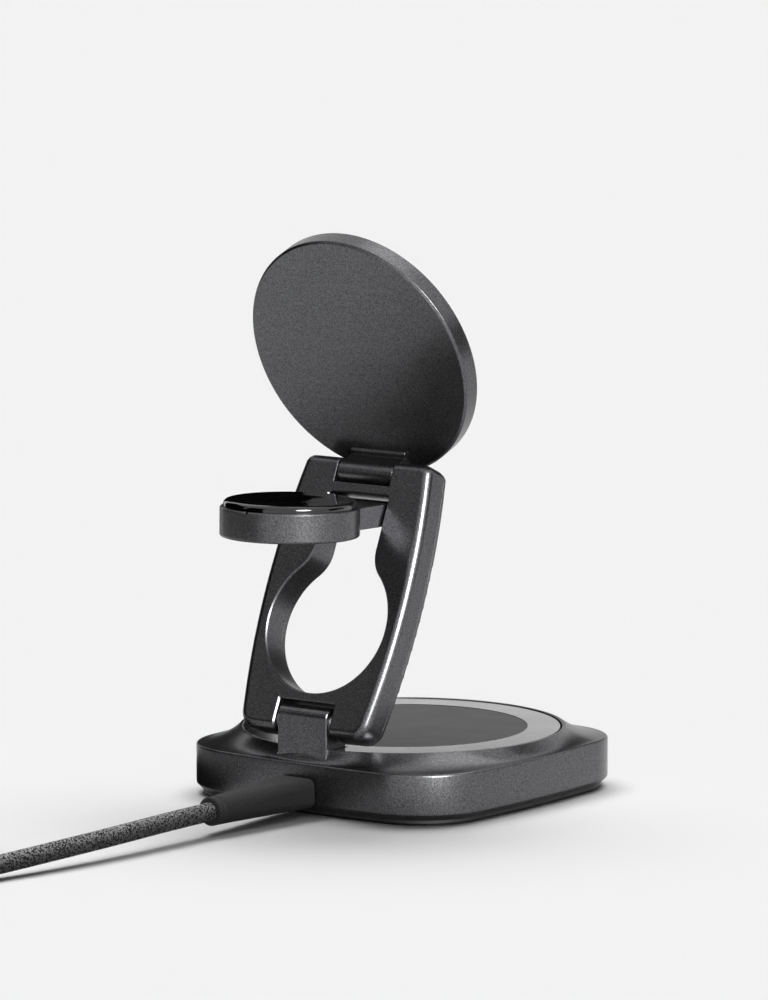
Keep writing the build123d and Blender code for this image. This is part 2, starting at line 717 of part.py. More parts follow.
with BuildPart() as phone_coil:
    with BuildSketch(disc_plane.offset(disc_inner + ferrite_thickness)):
        with Locations((0, disc_middle)):
            Circle(phone_coil_outer)
            Circle(phone_coil_inner, mode=Mode.SUBTRACT)
    extrude(amount=disc_ledge_height - disc_inner - ferrite_thickness)
phone_coil.part.label = "phone_coil"
export_step(phone_coil.part, "parts/phone_coil.step")

# Hinge tab: raised plate on the disc's lower back, with a web to the hinge barrel that clears the folded arm
tab_web_top = disc_barrel_radius - swing_gap
with BuildPart() as disc_tab:
    with BuildSketch(disc_side_plane) as tab_profile:
        Circle(disc_barrel_radius)
        with Locations((tab_thickness / 2 - disc_setback, (tab_web_top - tab_bottom) / 2)):
            Rectangle(tab_thickness, tab_web_top + tab_bottom)
        make_hull()
        with Locations((tab_thickness / 2 - disc_setback, (tab_top - tab_bottom) / 2)):
            Rectangle(tab_thickness, tab_top + tab_bottom)
        Circle(disc_pin_radius + running_gap, mode=Mode.SUBTRACT)
    extrude(amount=tab_width / 2, both=True)
    tab_edge = disc_tab.edges().filter_by(Axis.X).sort_by(Axis(disc_hinge, (0, sin(tilt), cos(tilt))))[-2:]
    chamfer(tab_edge.sort_by(Axis(disc_hinge, behind_disc))[-1], tab_edge_chamfer)
    with BuildSketch(disc_plane.offset(disc_setback)):
        with Locations(*tab_spots):
            Circle(tab_screw_radius + seat_gap)
    extrude(amount=-(tab_screw_length - disc_back_wall + seat_gap), mode=Mode.SUBTRACT)
disc_tab.part.label = "disc_tab"
export_step(disc_tab.part, "parts/disc_tab.step")

with BuildPart() as tab_screws:
    with BuildSketch(disc_plane.offset(disc_inner)):
        with Locations(*tab_spots):
            Circle(tab_screw_radius)
    extrude(amount=-tab_screw_length)
    with BuildSketch(disc_plane.offset(disc_inner)):
        with Locations(*tab_spots):
            Circle(tab_screw_head_radius)
    extrude(amount=tab_screw_head_height)
tab_screws.part.label = "tab_screws"
export_step(tab_screws.part, "parts/tab_screws.step")

# Watch charger: cup, neck and hinge barrel in one casting, with a tick cut in the rim at its free end
cup_bottom = puck_lift - puck_height / 2
cup_top = puck_lift + puck_height / 2
cup_inside = cup_bottom + cup_floor
cup_seat = cup_top - cup_rim_depth
cup_seat_radius = puck_radius - cup_rim
with BuildPart() as watch_cup:
    with BuildSketch(puck_plane.offset(cup_bottom)):
        with Locations((0, puck_reach)):
            Circle(puck_radius)
    extrude(amount=puck_height)
    fillet(watch_cup.faces().sort_by(Axis.Z)[0].edges(), puck_edge_round)
    chamfer(watch_cup.faces().filter_by(puck_plane).sort_by(Axis.Z)[-1].edges(), cup_rim_chamfer)
    with BuildSketch(puck_side_plane):
        Circle(puck_barrel_radius)
        with Locations((puck_reach / 2, 0)):
            Rectangle(puck_reach, neck_thickness)
        Circle(puck_pin_radius + running_gap, mode=Mode.SUBTRACT)
    extrude(amount=slot_half_width - side_gap, both=True)
    with BuildSketch(puck_plane.offset(cup_inside)):
        with Locations((0, puck_reach)):
            Circle(cup_seat_radius - cup_ledge)
    extrude(amount=puck_height, mode=Mode.SUBTRACT)
    with BuildSketch(puck_plane.offset(cup_seat)):
        with Locations((0, puck_reach)):
            Circle(cup_seat_radius)
    extrude(amount=puck_height, mode=Mode.SUBTRACT)
    with BuildSketch(puck_plane.offset(cup_top)):
        with Locations((0, puck_reach + puck_radius)):
            Rectangle(rim_notch_width, 4 * cup_rim)
    extrude(amount=-rim_notch_depth, mode=Mode.SUBTRACT)
watch_cup.part.label = "watch_cup"
export_step(watch_cup.part, "parts/watch_cup.step")

# Charging head: glossy cap with a rounded edge and a shallow dish
head_height = cup_rim_depth + head_rise
dish_centre = cup_top + head_rise - head_dish_depth + head_dish_radius
with BuildPart() as watch_head:
    with BuildSketch(puck_plane.offset(cup_seat)):
        with Locations((0, puck_reach)):
            Circle(cup_seat_radius - seat_gap)
    extrude(amount=head_height)
    head_top = watch_head.faces().sort_by(Axis(puck_hinge, above_neck))[-1]
    fillet(head_top.edges(), head_round)
    dish = puck_hinge + along_neck * puck_reach + above_neck * dish_centre
    with Locations(dish):
        Sphere(head_dish_radius, mode=Mode.SUBTRACT)
watch_head.part.label = "watch_head"
export_step(watch_head.part, "parts/watch_head.step")

with BuildPart() as watch_ferrite:
    with BuildSketch(puck_plane.offset(cup_inside)):
        with Locations((0, puck_reach)):
            Circle(cup_seat_radius - cup_ledge - seat_gap)
    extrude(amount=watch_ferrite_thickness)
watch_ferrite.part.label = "watch_ferrite"
export_step(watch_ferrite.part, "parts/watch_ferrite.step")

with BuildPart() as watch_coil:
    with BuildSketch(puck_plane.offset(cup_inside + watch_ferrite_thickness)):
        with Locations((0, puck_reach)):
            Circle(watch_coil_outer)
            Circle(watch_coil_inner, mode=Mode.SUBTRACT)
    extrude(amount=cup_seat - cup_inside - watch_ferrite_thickness)
watch_coil.part.label = "watch_coil"
export_step(watch_coil.part, "parts/watch_coil.step")

with BuildPart() as watch_magnet:
    with BuildSketch(puck_plane.offset(cup_inside + watch_ferrite_thickness)):
        with Locations((0, puck_reach)):
            Circle(watch_magnet_radius)
    extrude(amount=cup_seat - cup_inside - watch_ferrite_thickness)
watch_magnet.part.label = "watch_magnet"
export_step(watch_magnet.part, "parts/watch_magnet.step")


# Overmould: rounded rectangle that narrows to a round collar, along the plane's -Z direction
def overmould(plane):
    with BuildPart() as body:
        with BuildSketch(plane):
            RectangleRounded(plug_width, plug_thickness, plug_corner)
        with BuildSketch(plane.offset(-plug_taper_length)):
            RectangleRounded(
                2 * plug_collar_radius,
                2 * plug_collar_radius,
                plug_collar_radius - seat_gap,
            )
        loft(ruled=True)
        nose = body.faces().sort_by(Axis(plane.origin, plane.z_dir))[-1]
        fillet(nose.edges(), plug_nose_round)
        with BuildSketch(plane.offset(-plug_taper_length)):
            Circle(plug_collar_radius)
        extrude(amount=-plug_collar_length)
    return body


# Metal shell of a plug, open at its tip, along the plane's +Z direction
def plug_shell(plane):
    with BuildPart() as shell:
        with BuildSketch(plane):
            SlotOverall(plug_shell_width, plug_shell_height)
        extrude(amount=plug_shell_length)
        with BuildSketch(plane.offset(plug_shell_length)):
            SlotOverall(plug_mouth_width, plug_mouth_height)
        extrude(amount=-plug_mouth_depth, mode=Mode.SUBTRACT)
    return shell


# Plug at the base
near_plane = port_plane.offset(-plug_gap)
near_plug = overmould(near_plane)
near_plug.part.label = "near_plug"
export_step(near_plug.part, "parts/near_plug.step")

near_plug_shell = plug_shell(near_plane)
near_plug_shell.part.label = "near_plug_shell"
export_step(near_plug_shell.part, "parts/near_plug_shell.step")

# Cord: out of the collar, down to the table and away to the put-away coil
plug_end = base_half + plug_gap + plug_taper_length + plug_collar_length
cord_points = [
    Vector(0.0, plug_end, port_height),
    Vector(0.0, 85.0, port_height),
    Vector(0.5, 100.0, 4.95),
    Vector(1.8, 115.0, 4.4),
    Vector(4.2, 131.0, 3.55),
    Vector(7.6, 147.0, 2.5),
    Vector(11.0, 160.0, 2.9),
]


# Radius of each bend from its share of the shorter run beside it
def corner_radii(points):
    radii = []
    for before, corner, after in zip(points, points[1:], points[2:]):
        shorter = min((corner - before).length, (after - corner).length)
        turn = (corner - before).get_angle(after - corner)
        radii.append(corner_share * shorter / tan(radians(turn) / 2))
    return radii


print("cord radii", [round(radius, 1) for radius in corner_radii(cord_points)])
with BuildPart() as cord_tube:
    with BuildLine():
        cord_line = FilletPolyline(*cord_points, radius=corner_radii(cord_points))
    with BuildSketch(Plane(cord_line @ 0, z_dir=cord_line % 0)):
        Circle(cord_radius)
    sweep()
print("cord run", cord_line.length, "section times length", pi * cord_radius**2 * cord_line.length)
print("tube volume", cord_tube.part.volume)
cord_tube.part.label = "cord_tube"
export_step(cord_tube.part, "parts/cord_tube.step")

# Put-away coil: the outer shape of its turns, bevelled along the corner turns
cord_end = cord_points[-1]
cord_heading = Vector(cord_end.X - cord_points[-2].X, cord_end.Y - cord_points[-2].Y).normalized()
coil_half_width = coil_layers * cord_radius
outer_turn_radius = coil_turn_radius + coil_half_width - cord_radius
coil_middle = Vector(
    cord_end.X + outer_turn_radius * cord_heading.Y,
    cord_end.Y - outer_turn_radius * cord_heading.X,
)
coil_bottom = tie_thickness
coil_bevel = cord_radius * (2 - sqrt(2))
coil_top = coil_bottom + 2 * coil_half_width
print("coil middle", coil_middle)
with BuildPart() as cord_coil:
    with BuildSketch(Plane.XY.offset(coil_bottom)):
        with Locations((coil_middle.X, coil_middle.Y)):
            Circle(coil_turn_radius + coil_half_width)
            Circle(coil_turn_radius - coil_half_width, mode=Mode.SUBTRACT)
    extrude(amount=coil_top - coil_bottom)
    chamfer(cord_coil.edges(), coil_bevel)
cord_coil.part.label = "cord_coil"
export_step(cord_coil.part, "parts/cord_coil.step")

# Strap round the coil's section, passing under it
tie_out = Vector(cos(radians(tie_angle)), sin(radians(tie_angle)))
tie_middle = Vector(coil_middle.X, coil_middle.Y, (coil_bottom + coil_top) / 2) + tie_out * coil_turn_radius
tie_plane = Plane(origin=tie_middle, x_dir=tie_out, z_dir=(-tie_out.Y, tie_out.X, 0))
tie_bow = tie_width**2 / (8 * (coil_turn_radius - coil_half_width))
tie_half_width = coil_half_width + tie_bow + seat_gap
with BuildPart() as cord_tie:
    with BuildSketch(tie_plane):
        RectangleRounded(
            2 * (tie_half_width + tie_thickness),
            2 * (coil_half_width + tie_thickness),
            coil_bevel + tie_thickness,
        )
        RectangleRounded(2 * tie_half_width, 2 * coil_half_width, coil_bevel, mode=Mode.SUBTRACT)
    extrude(amount=tie_width / 2, both=True)
cord_tie.part.label = "cord_tie"
export_step(cord_tie.part, "parts/cord_tie.step")

# Far plug: its collar lies on the coil's inner turn, and its nose points out along the tangent
far_out = Vector(cos(radians(far_plug_angle)), sin(radians(far_plug_angle)))
far_along = Vector(far_out.Y, -far_out.X, 0)
far_height = coil_top + plug_thickness / 2
inner_turn_radius = coil_turn_radius - coil_half_width + cord_radius
far_middle = Vector(coil_middle.X, coil_middle.Y, far_height) + far_out * inner_turn_radius
far_plane = Plane(
    origin=far_middle + far_along * (plug_taper_length + plug_collar_length),
    x_dir=far_out,
    z_dir=far_along,
)
far_plug = overmould(far_plane)
far_plug.part.label = "far_plug"
export_step(far_plug.part, "parts/far_plug.step")

far_plug_shell = plug_shell(far_plane)
far_plug_shell.part.label = "far_plug_shell"
export_step(far_plug_shell.part, "parts/far_plug_shell.step")
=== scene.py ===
import json
import math

import bpy
import numpy as np
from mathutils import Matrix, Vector


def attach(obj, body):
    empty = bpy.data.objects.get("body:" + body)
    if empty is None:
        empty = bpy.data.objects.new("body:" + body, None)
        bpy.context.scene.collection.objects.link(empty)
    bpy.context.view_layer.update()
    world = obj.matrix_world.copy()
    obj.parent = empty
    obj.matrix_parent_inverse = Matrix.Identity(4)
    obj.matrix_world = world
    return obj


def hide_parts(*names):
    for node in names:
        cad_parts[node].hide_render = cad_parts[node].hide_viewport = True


# Folding charging stand, dressed over its solids. Metres, +Z up, +Y to the back.

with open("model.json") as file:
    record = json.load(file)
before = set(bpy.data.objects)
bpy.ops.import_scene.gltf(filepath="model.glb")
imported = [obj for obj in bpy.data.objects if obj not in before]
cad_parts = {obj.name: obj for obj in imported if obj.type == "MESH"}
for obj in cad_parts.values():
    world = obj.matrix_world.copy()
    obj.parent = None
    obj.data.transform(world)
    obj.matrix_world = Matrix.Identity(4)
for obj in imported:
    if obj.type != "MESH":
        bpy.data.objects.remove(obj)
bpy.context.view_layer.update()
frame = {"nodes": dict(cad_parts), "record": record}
nodes = frame["nodes"]
scene = bpy.context.scene
mm = 0.001
print("stage: frame loaded,", len(nodes), "nodes")


# sRGB hex to linear: each channel c becomes ((c + 0.055) / 1.055) ^ 2.4, or c / 12.92 near black
def toLinear(hexColour):
    channels = np.array([int(hexColour[i:i + 2], 16) for i in (1, 3, 5)]) / 255
    linear = np.where(channels <= 0.04045, channels / 12.92, ((channels + 0.055) / 1.055) ** 2.4)
    return (*linear.tolist(), 1.0)


# one node with its settings, its fixed inputs and its links
def addNode(tree, kind, settings=None, values=None, links=None):
    node = tree.nodes.new(kind)
    for name, value in (settings or {}).items():
        setattr(node, name, value)
    for socket, value in (values or {}).items():
        node.inputs[socket].default_value = value
    for socket, source in (links or {}).items():
        tree.links.new(source, node.inputs[socket])
    return node


# an empty node material and its tree
def startMaterial(name):
    material = bpy.data.materials.new(name)
    material.use_nodes = True
    material.node_tree.nodes.clear()
    return material, material.node_tree


# the shader joined to the material's output
def endMaterial(tree, values, links):
    shader = addNode(tree, "ShaderNodeBsdfPrincipled", values=values, links=links)
    addNode(tree, "ShaderNodeOutputMaterial", links={"Surface": shader.outputs["BSDF"]})


# Camera, at the photograph's angle
cameraView = {
    "target": (3.026 * mm, 3.172 * mm, 67.61 * mm),
    "azimuth": 217.128,      # degrees, 0 looks along +Y
    "elevation": 7.727,
    "distance": 1.349311,
    "lens": 211.236,         # mm, on the sensor along the picture's long side
    "sensor": 36.0,
    "clip": (0.05, 40.0),
}


# unit vector from the object towards a bearing, measured as the camera's is, and a height in degrees
def towards(bearing, elevation):
    turn = math.radians(bearing)
    rise = math.radians(elevation)
    return Vector((math.sin(turn) * math.cos(rise), -math.cos(turn) * math.cos(rise), math.sin(rise)))


toCamera = towards(cameraView["azimuth"], cameraView["elevation"])
camera = bpy.data.objects.new("camera", bpy.data.cameras.new("camera"))
scene.collection.objects.link(camera)
camera.location = Vector(cameraView["target"]) + toCamera * cameraView["distance"]
camera.rotation_mode = "QUATERNION"
camera.rotation_quaternion = (-toCamera).to_track_quat("-Z", "Y")
camera.data.lens = cameraView["lens"]
camera.data.sensor_width = cameraView["sensor"]
camera.data.clip_start, camera.data.clip_end = cameraView["clip"]
scene.camera = camera
print("stage: camera")


# A grid of quads: row i and column j join to the next, and columns wrap round when the section is a loop
def gridFaces(rows, columns, wrap=True):
    i, j = np.meshgrid(np.arange(rows - 1), np.arange(columns - (not wrap)), indexing="ij")
    nextJ = (j + 1) % columns
    below = (i + 1) * columns
    return np.stack([i * columns + j, i * columns + nextJ, below + nextJ, below + j], -1).reshape(-1, 4)


# A mesh object from whole arrays, smooth across edges flatter than the given angle
def meshPiece(name, points, faces, sharpAngle=None):
    mesh = bpy.data.meshes.new(name)
    mesh.from_pydata(np.asarray(points).reshape(-1, 3).tolist(), [], [list(map(int, face)) for face in faces])
    mesh.polygons.foreach_set("use_smooth", np.ones(len(mesh.polygons), bool))
    mesh.update()
    if sharpAngle is not None:
        mesh.set_sharp_from_angle(angle=math.radians(sharpAngle))
    piece = bpy.data.objects.new(name, mesh)
    scene.collection.objects.link(piece)
    return piece


# Rings of points closed into a skin: rings[i, j] is point j of ring i, and each end ring gets one flat face
def ringSkin(name, rings, sharpAngle=30):
    count, around = rings.shape[:2]
    faces = gridFaces(count, around).tolist()
    first = list(range(around - 1, -1, -1))
    last = list(range((count - 1) * around, count * around))
    return meshPiece(name, rings, faces + [first, last], sharpAngle)


# Housing of the base: wall, hollow shoulder, rim and pockets
housingSizes = {
    "halfWidth": 39.75 * mm,
    "sideRadius": 300.0 * mm,
    "cornerRadius": 17.3 * mm,
    "wall": 2.4 * mm,
    "bottom": 1.4 * mm,
    "edgeChamfer": 1.3 * mm,
    "edgeRound": 0.3 * mm,     # where the chamfer meets the wall
    "crest": 11.95 * mm,
    "crestRound": 0.55 * mm,
    "rise": 3.19 * mm,
    "rimRadius": 37.7 * mm,
    "rimWidth": 0.8 * mm,
    "rimRound": 0.12 * mm,
    "padFloor": 13.79 * mm,
    "coilPocket": 24.0 * mm,
    "coilFloor": 11.79 * mm,
    "deckUnderside": 10.39 * mm,
    "around": 480,
    "shoulderRows": 18,
    "blockWidth": 14.1 * mm,
    "blockMiddle": 34.35 * mm,
    "blockDepth": 7.4 * mm,
    "portWidth": 9.04 * mm,
    "portHeight": 3.36 * mm,
    "portMiddle": 5.4 * mm,
    "portAround": 40,
    "slotTop": 20.0 * mm,
    "portReach": (42.0 * mm, 36.0 * mm),   # the cut runs inwards, from outside the wall to inside it
    "sharpAngle": 30,
    "bendSteps": 5,
}


# Distance of the outline from the middle at each bearing: a ray meets the arched side's circle up to the
# point where the corner's circle takes over; bearings fold into one octant
def outlineReach(bearing, inset, sizes):
    half = sizes["halfWidth"] - inset
    side = sizes["sideRadius"] - inset
    corner = sizes["cornerRadius"] - inset
    sideCentre = half - side
    cornerCentre = (sideCentre + math.sqrt(2 * (side - corner) ** 2 - sideCentre ** 2)) / 2
    turn = math.atan2(cornerCentre, cornerCentre - sideCentre)
    handover = math.atan2(side * math.sin(turn), sideCentre + side * math.cos(turn))
    fold = np.abs((bearing + np.pi / 4) % (np.pi / 2) - np.pi / 4)
    onSide = sideCentre * np.cos(fold) + np.sqrt(side ** 2 - (sideCentre * np.sin(fold)) ** 2)
    reach = cornerCentre * math.sqrt(2)
    offAxis = np.minimum(reach * np.sin(np.pi / 4 - fold), corner)
    onCorner = reach * np.cos(np.pi / 4 - fold) + np.sqrt(corner ** 2 - offAxis ** 2)
    return np.where(fold < handover, onSide, onCorner)


# Rows of the shell, from the middle of the coil pocket over the rim and wall to the middle of the underside:
# each row is a height and a mix of the outline, set in by an inset, and a circle
def housingRows(sizes):
    rim, crest = sizes["rimRadius"], sizes["crest"]
    top = crest + sizes["rise"]
    pocket = rim - sizes["rimWidth"]
    bend = sizes["rimRound"]
    quarter = np.linspace(0, np.pi / 2, sizes["bendSteps"])
    # columns: inset of the outline, share of the circle, circle's radius, height
    rows = [(0, 1, sizes["coilPocket"], sizes["coilFloor"]), (0, 1, sizes["coilPocket"], sizes["padFloor"])]
    rows += [(0, 1, pocket, sizes["padFloor"])]
    rows += [(0, 1, pocket + bend * (1 - math.cos(a)), top - bend * (1 - math.sin(a))) for a in quarter]
    share = np.linspace(1, 0, sizes["shoulderRows"])
    rows += [(sizes["crestRound"], s, rim, crest + sizes["rise"] * s ** 2) for s in share]
    turned = sizes["crestRound"]
    rows += [(turned * (1 - math.sin(a)), 0, rim, crest - turned * (1 - math.cos(a))) for a in quarter[1:]]
    chamfer, soft = sizes["edgeChamfer"], sizes["edgeRound"]
    low = sizes["bottom"] + chamfer
    # inset and drop, as shares of the rounding, where the wall turns into the chamfer
    rows += [(soft * inset, 0, rim, low - soft * drop) for inset, drop in ((0, -1), (0.15, 0), (0.6, 0.4))]
    rows += [(chamfer - soft, 0, rim, sizes["bottom"] + soft), (chamfer, 0, rim, sizes["bottom"])]
    rows += [(sizes["wall"], 0, rim, sizes["bottom"]), (sizes["wall"], 0, rim, sizes["deckUnderside"])]
    return np.array(rows)


# Cutter: a closed prism of a section in X and another axis, given as its two end rings
def prism(name, ring, start, end):
    return ringSkin(name, np.stack([ring + start, ring + end]))


# The shell with the block's slot and the socket's opening cut through
def cutAway(piece, cutters):
    for cutter in cutters:
        cut = piece.modifiers.new(cutter.name, "BOOLEAN")
        cut.object = cutter
        cut.operation = "DIFFERENCE"
        cut.solver = "EXACT"
    bpy.context.view_layer.update()
    finished = bpy.data.meshes.new_from_object(piece.evaluated_get(bpy.context.evaluated_depsgraph_get()))
    piece.modifiers.clear()
    piece.data = finished
    for cutter in cutters:
        bpy.data.objects.remove(cutter)


bearing = np.linspace(0, 2 * np.pi, housingSizes["around"], endpoint=False)
rows = housingRows(housingSizes)
outline = np.stack([outlineReach(bearing, inset, housingSizes) for inset in rows[:, 0]])
reach = outline * (1 - rows[:, 1:2]) + rows[:, 2:3] * rows[:, 1:2]
level = np.broadcast_to(rows[:, 3:4], reach.shape)
shell = np.stack([reach * np.cos(bearing), reach * np.sin(bearing), level], -1)
housing = ringSkin("housingShell", shell[::-1])
slotX = housingSizes["blockWidth"] / 2
slotY = housingSizes["blockDepth"] / 2
slotRing = np.array([(-slotX, -slotY, 0), (slotX, -slotY, 0), (slotX, slotY, 0), (-slotX, slotY, 0)])
slotRing += (0, housingSizes["blockMiddle"], 0)
slotHeights = (housingSizes["coilFloor"], housingSizes["slotTop"])
blockCutter = prism("blockCutter", slotRing, *((0, 0, z) for z in slotHeights))
portAround = housingSizes["portAround"]
portTurn = np.linspace(0, 2 * np.pi, portAround, endpoint=False) + np.pi / portAround
portRound = housingSizes["portHeight"] / 2
portX = portRound * np.cos(portTurn) + np.sign(np.cos(portTurn)) * (housingSizes["portWidth"] / 2 - portRound)
portZ = housingSizes["portMiddle"] + portRound * np.sin(portTurn)
portRing = np.column_stack([portX, np.zeros(portAround), portZ])
portCutter = prism("portCutter", portRing, *((0, y, 0) for y in housingSizes["portReach"]))
cutAway(housing, [blockCutter, portCutter])
housing.data.set_sharp_from_angle(angle=math.radians(housingSizes["sharpAngle"]))
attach(housing, "base")
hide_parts("base_housing")
print("stage: housing", len(housing.data.polygons), "faces")

# Plugs: a rounded bar that narrows to a round collar, the same at both ends of the cord
plugSizes = {
    "halfWidth": 5.5 * mm,
    "halfHeight": 3.4 * mm,
    "corner": 1.8 * mm,
    "collarRadius": 3.25 * mm,
    "taperLength": 29.5 * mm,
    "collarLength": 2.0 * mm,
    "noseRound": 0.7 * mm,
    "seamDepth": 0.2 * mm,      # line moulded in where the collar starts
    "seamWidth": 0.5 * mm,
    "collarRound": 0.45 * mm,
    "leastCorner": 0.3 * mm,
    "easing": 0.25,             # share of a smooth step in the taper, the rest is straight
    "noseSteps": 7,
    "bodySteps": 24,
    "tailSteps": 6,
    "perCorner": 10,
}


# Section at each station s from the nose: half width, half height and corner radius go from the nose's to the
# collar's along an eased line, less a rounding at both ends and a groove at the collar
def overmould(origin, along, across, sizes):
    total = sizes["taperLength"] + sizes["collarLength"]
    nose = sizes["noseRound"] * (1 - np.cos(np.linspace(0, np.pi / 2, sizes["noseSteps"])))
    seam = sizes["taperLength"] + sizes["seamWidth"] * np.array([-0.5, -0.3, 0, 0.3, 0.5])
    tail = total - sizes["collarRound"] * np.sin(np.linspace(np.pi / 2, 0, sizes["tailSteps"]))
    bodyEnd = sizes["taperLength"] - sizes["seamWidth"] / 2
    body = np.linspace(sizes["noseRound"], bodyEnd, sizes["bodySteps"])[1:-1]
    s = np.concatenate([nose, body, seam, tail, [total]])
    s = np.unique(np.round(s, 7))
    share = np.clip(s / sizes["taperLength"], 0, 1)
    share = share * (1 - sizes["easing"]) + sizes["easing"] * share ** 2 * (3 - 2 * share)
    inNose = np.clip(1 - s / sizes["noseRound"], 0, 1)
    inTail = np.clip(1 - (total - s) / sizes["collarRound"], 0, 1)
    trim = sizes["noseRound"] * (1 - np.sqrt(1 - inNose ** 2))
    trim += sizes["collarRound"] * (1 - np.sqrt(1 - inTail ** 2))
    trim += sizes["seamDepth"] * np.clip(1 - (2 * (s - sizes["taperLength"]) / sizes["seamWidth"]) ** 2, 0, 1)
    halfWidth = sizes["halfWidth"] + (sizes["collarRadius"] - sizes["halfWidth"]) * share - trim
    halfHeight = sizes["halfHeight"] + (sizes["collarRadius"] - sizes["halfHeight"]) * share - trim
    corner = sizes["corner"] + (sizes["collarRadius"] - sizes["corner"]) * share - trim
    corner = np.minimum(np.maximum(corner, sizes["leastCorner"]), np.minimum(halfWidth, halfHeight))
    turn = np.concatenate([q * np.pi / 2 + np.linspace(0, np.pi / 2, sizes["perCorner"]) for q in range(4)])
    signX = np.repeat([1, -1, -1, 1], sizes["perCorner"])
    signY = np.repeat([1, 1, -1, -1], sizes["perCorner"])
    sideways = corner[:, None] * np.cos(turn) + signX * (halfWidth - corner)[:, None]
    upwards = corner[:, None] * np.sin(turn) + signY * (halfHeight - corner)[:, None]
    along, across = np.array(along), np.array(across)
    up = np.array((0.0, 0.0, 1.0))
    rings = np.array(origin) + s[:, None, None] * along
    return rings + sideways[..., None] * across + upwards[..., None] * up


# Cord: the free run from the plug, then the put-away coil, then up to the far plug
cordSizes = {
    "radius": 2.1 * mm,
    "exit": (0.0, 71.4 * mm, 5.4 * mm),
    "coilMiddle": (39.4433 * mm, 152.5608 * mm),
    "turnRadii": (29.4 * mm, 25.2 * mm, 21.0 * mm),
    "layerHeights": (2.9 * mm, 7.1 * mm, 11.3 * mm),
    "wholeTurns": 8,
    "pointsPerTurn": 16,
    "farBearing": -30.0,      # degrees, where the far plug's collar lies
    "farHeight": 16.8 * mm,
    "around": 28,
    "resolution": 10,         # points that the line draws per control point
}
cordRoute = [
    (0.0, 0.0714, 0.0054),
    (0.0, 0.085, 0.0054),
    (0.0005, 0.100, 0.00495),
    (0.0018, 0.115, 0.0044),
    (0.0042, 0.131, 0.00355),
    (0.0076, 0.147, 0.0025),
    (0.011, 0.160, 0.0029),
]


# The coil: a bearing that falls evenly, with radius and height stepping between turns over a short stretch
def coilPoints(sizes, start):
    middle = np.array(sizes["coilMiddle"])
    outer, centre, inner = sizes["turnRadii"]
    low, mid, high = sizes["layerHeights"]
    first = math.degrees(math.atan2(start[1] - middle[1], start[0] - middle[0]))
    last = sizes["wholeTurns"] + (first - sizes["farBearing"]) / 360
    # turns at which the radius or the height has reached each value
    radiusAt = np.array([
        (0, outer), (1.0, outer), (1.15, centre), (2.0, centre), (2.15, inner),
        (3.7, inner), (3.85, centre), (4.7, centre), (4.85, outer),
        (6.4, outer), (6.55, centre), (7.4, centre), (7.55, inner), (last, inner),
    ])
    heightAt = np.array([
        (0, low), (2.85, low), (3.0, mid), (5.55, mid), (5.7, high),
        (last - 0.32, high), (last - 0.06, sizes["farHeight"]), (last, sizes["farHeight"]),
    ])
    count = int(round(last * sizes["pointsPerTurn"]))
    turns = np.arange(1, count + 1) / count * last
    bearing = np.radians(first - 360 * turns)
    radius = np.interp(turns, radiusAt[:, 0], radiusAt[:, 1])
    height = np.interp(turns, heightAt[:, 0], heightAt[:, 1])
    return np.column_stack([
        middle[0] + radius * np.cos(bearing),
        middle[1] + radius * np.sin(bearing),
        height,
    ])


# A NURBS line through its control points, read back as the points that Blender draws
def nurbsLine(name, points, resolution):
    curve = bpy.data.curves.new(name, "CURVE")
    curve.dimensions = "3D"
    curve.resolution_u = resolution
    spline = curve.splines.new("NURBS")
    spline.points.add(len(points) - 1)
    spline.points.foreach_set("co", np.column_stack([points, np.ones(len(points))]).ravel())
    spline.order_u = 3
    spline.use_endpoint_u = True
    holder = bpy.data.objects.new(name, curve)
    scene.collection.objects.link(holder)
    bpy.context.view_layer.update()
    depsgraph = bpy.context.evaluated_depsgraph_get()
    drawn = bpy.data.meshes.new_from_object(holder.evaluated_get(depsgraph))
    line = np.empty(len(drawn.vertices) * 3)
    drawn.vertices.foreach_get("co", line)
    bpy.data.objects.remove(holder)
    bpy.data.curves.remove(curve)
    bpy.data.meshes.remove(drawn)
    return line.reshape(-1, 3)


# Tube: a circle of the cord's radius carried along the line, in the frame of side = tangent x up
def cordTube(name, line, radius, around):
    tangent = np.gradient(line, axis=0)
    tangent /= np.linalg.norm(tangent, axis=1, keepdims=True)
    side = np.cross(tangent, (0.0, 0.0, 1.0))
    side /= np.linalg.norm(side, axis=1, keepdims=True)
    over = np.cross(side, tangent)
    angle = np.linspace(0, 2 * np.pi, around, endpoint=False)
    ring = side[:, None] * np.cos(angle)[:, None] + over[:, None] * np.sin(angle)[:, None]
    piece = ringSkin(name, line[:, None] + radius * ring, sharpAngle=60)
    # UV: metres along the cord, and the share of a turn round it
    along = np.concatenate([[0], np.cumsum(np.linalg.norm(np.diff(line, axis=0), axis=1))])
    loopVertex = np.empty(len(piece.data.loops), int)
    piece.data.loops.foreach_get("vertex_index", loopVertex)
    column = loopVertex % around
    share = column / around
    sideLoops = (len(line) - 1) * around * 4
    quadColumns = column[:sideLoops].reshape(-1, 4)
    wrapped = (quadColumns == 0) & (quadColumns.max(axis=1, keepdims=True) == around - 1)
    share[:sideLoops] += wrapped.ravel()
    uv = piece.data.uv_layers.new(name="cordUv")
    uv.data.foreach_set("uv", np.column_stack([along[loopVertex // around], share]).ravel())
    return piece, along[-1]


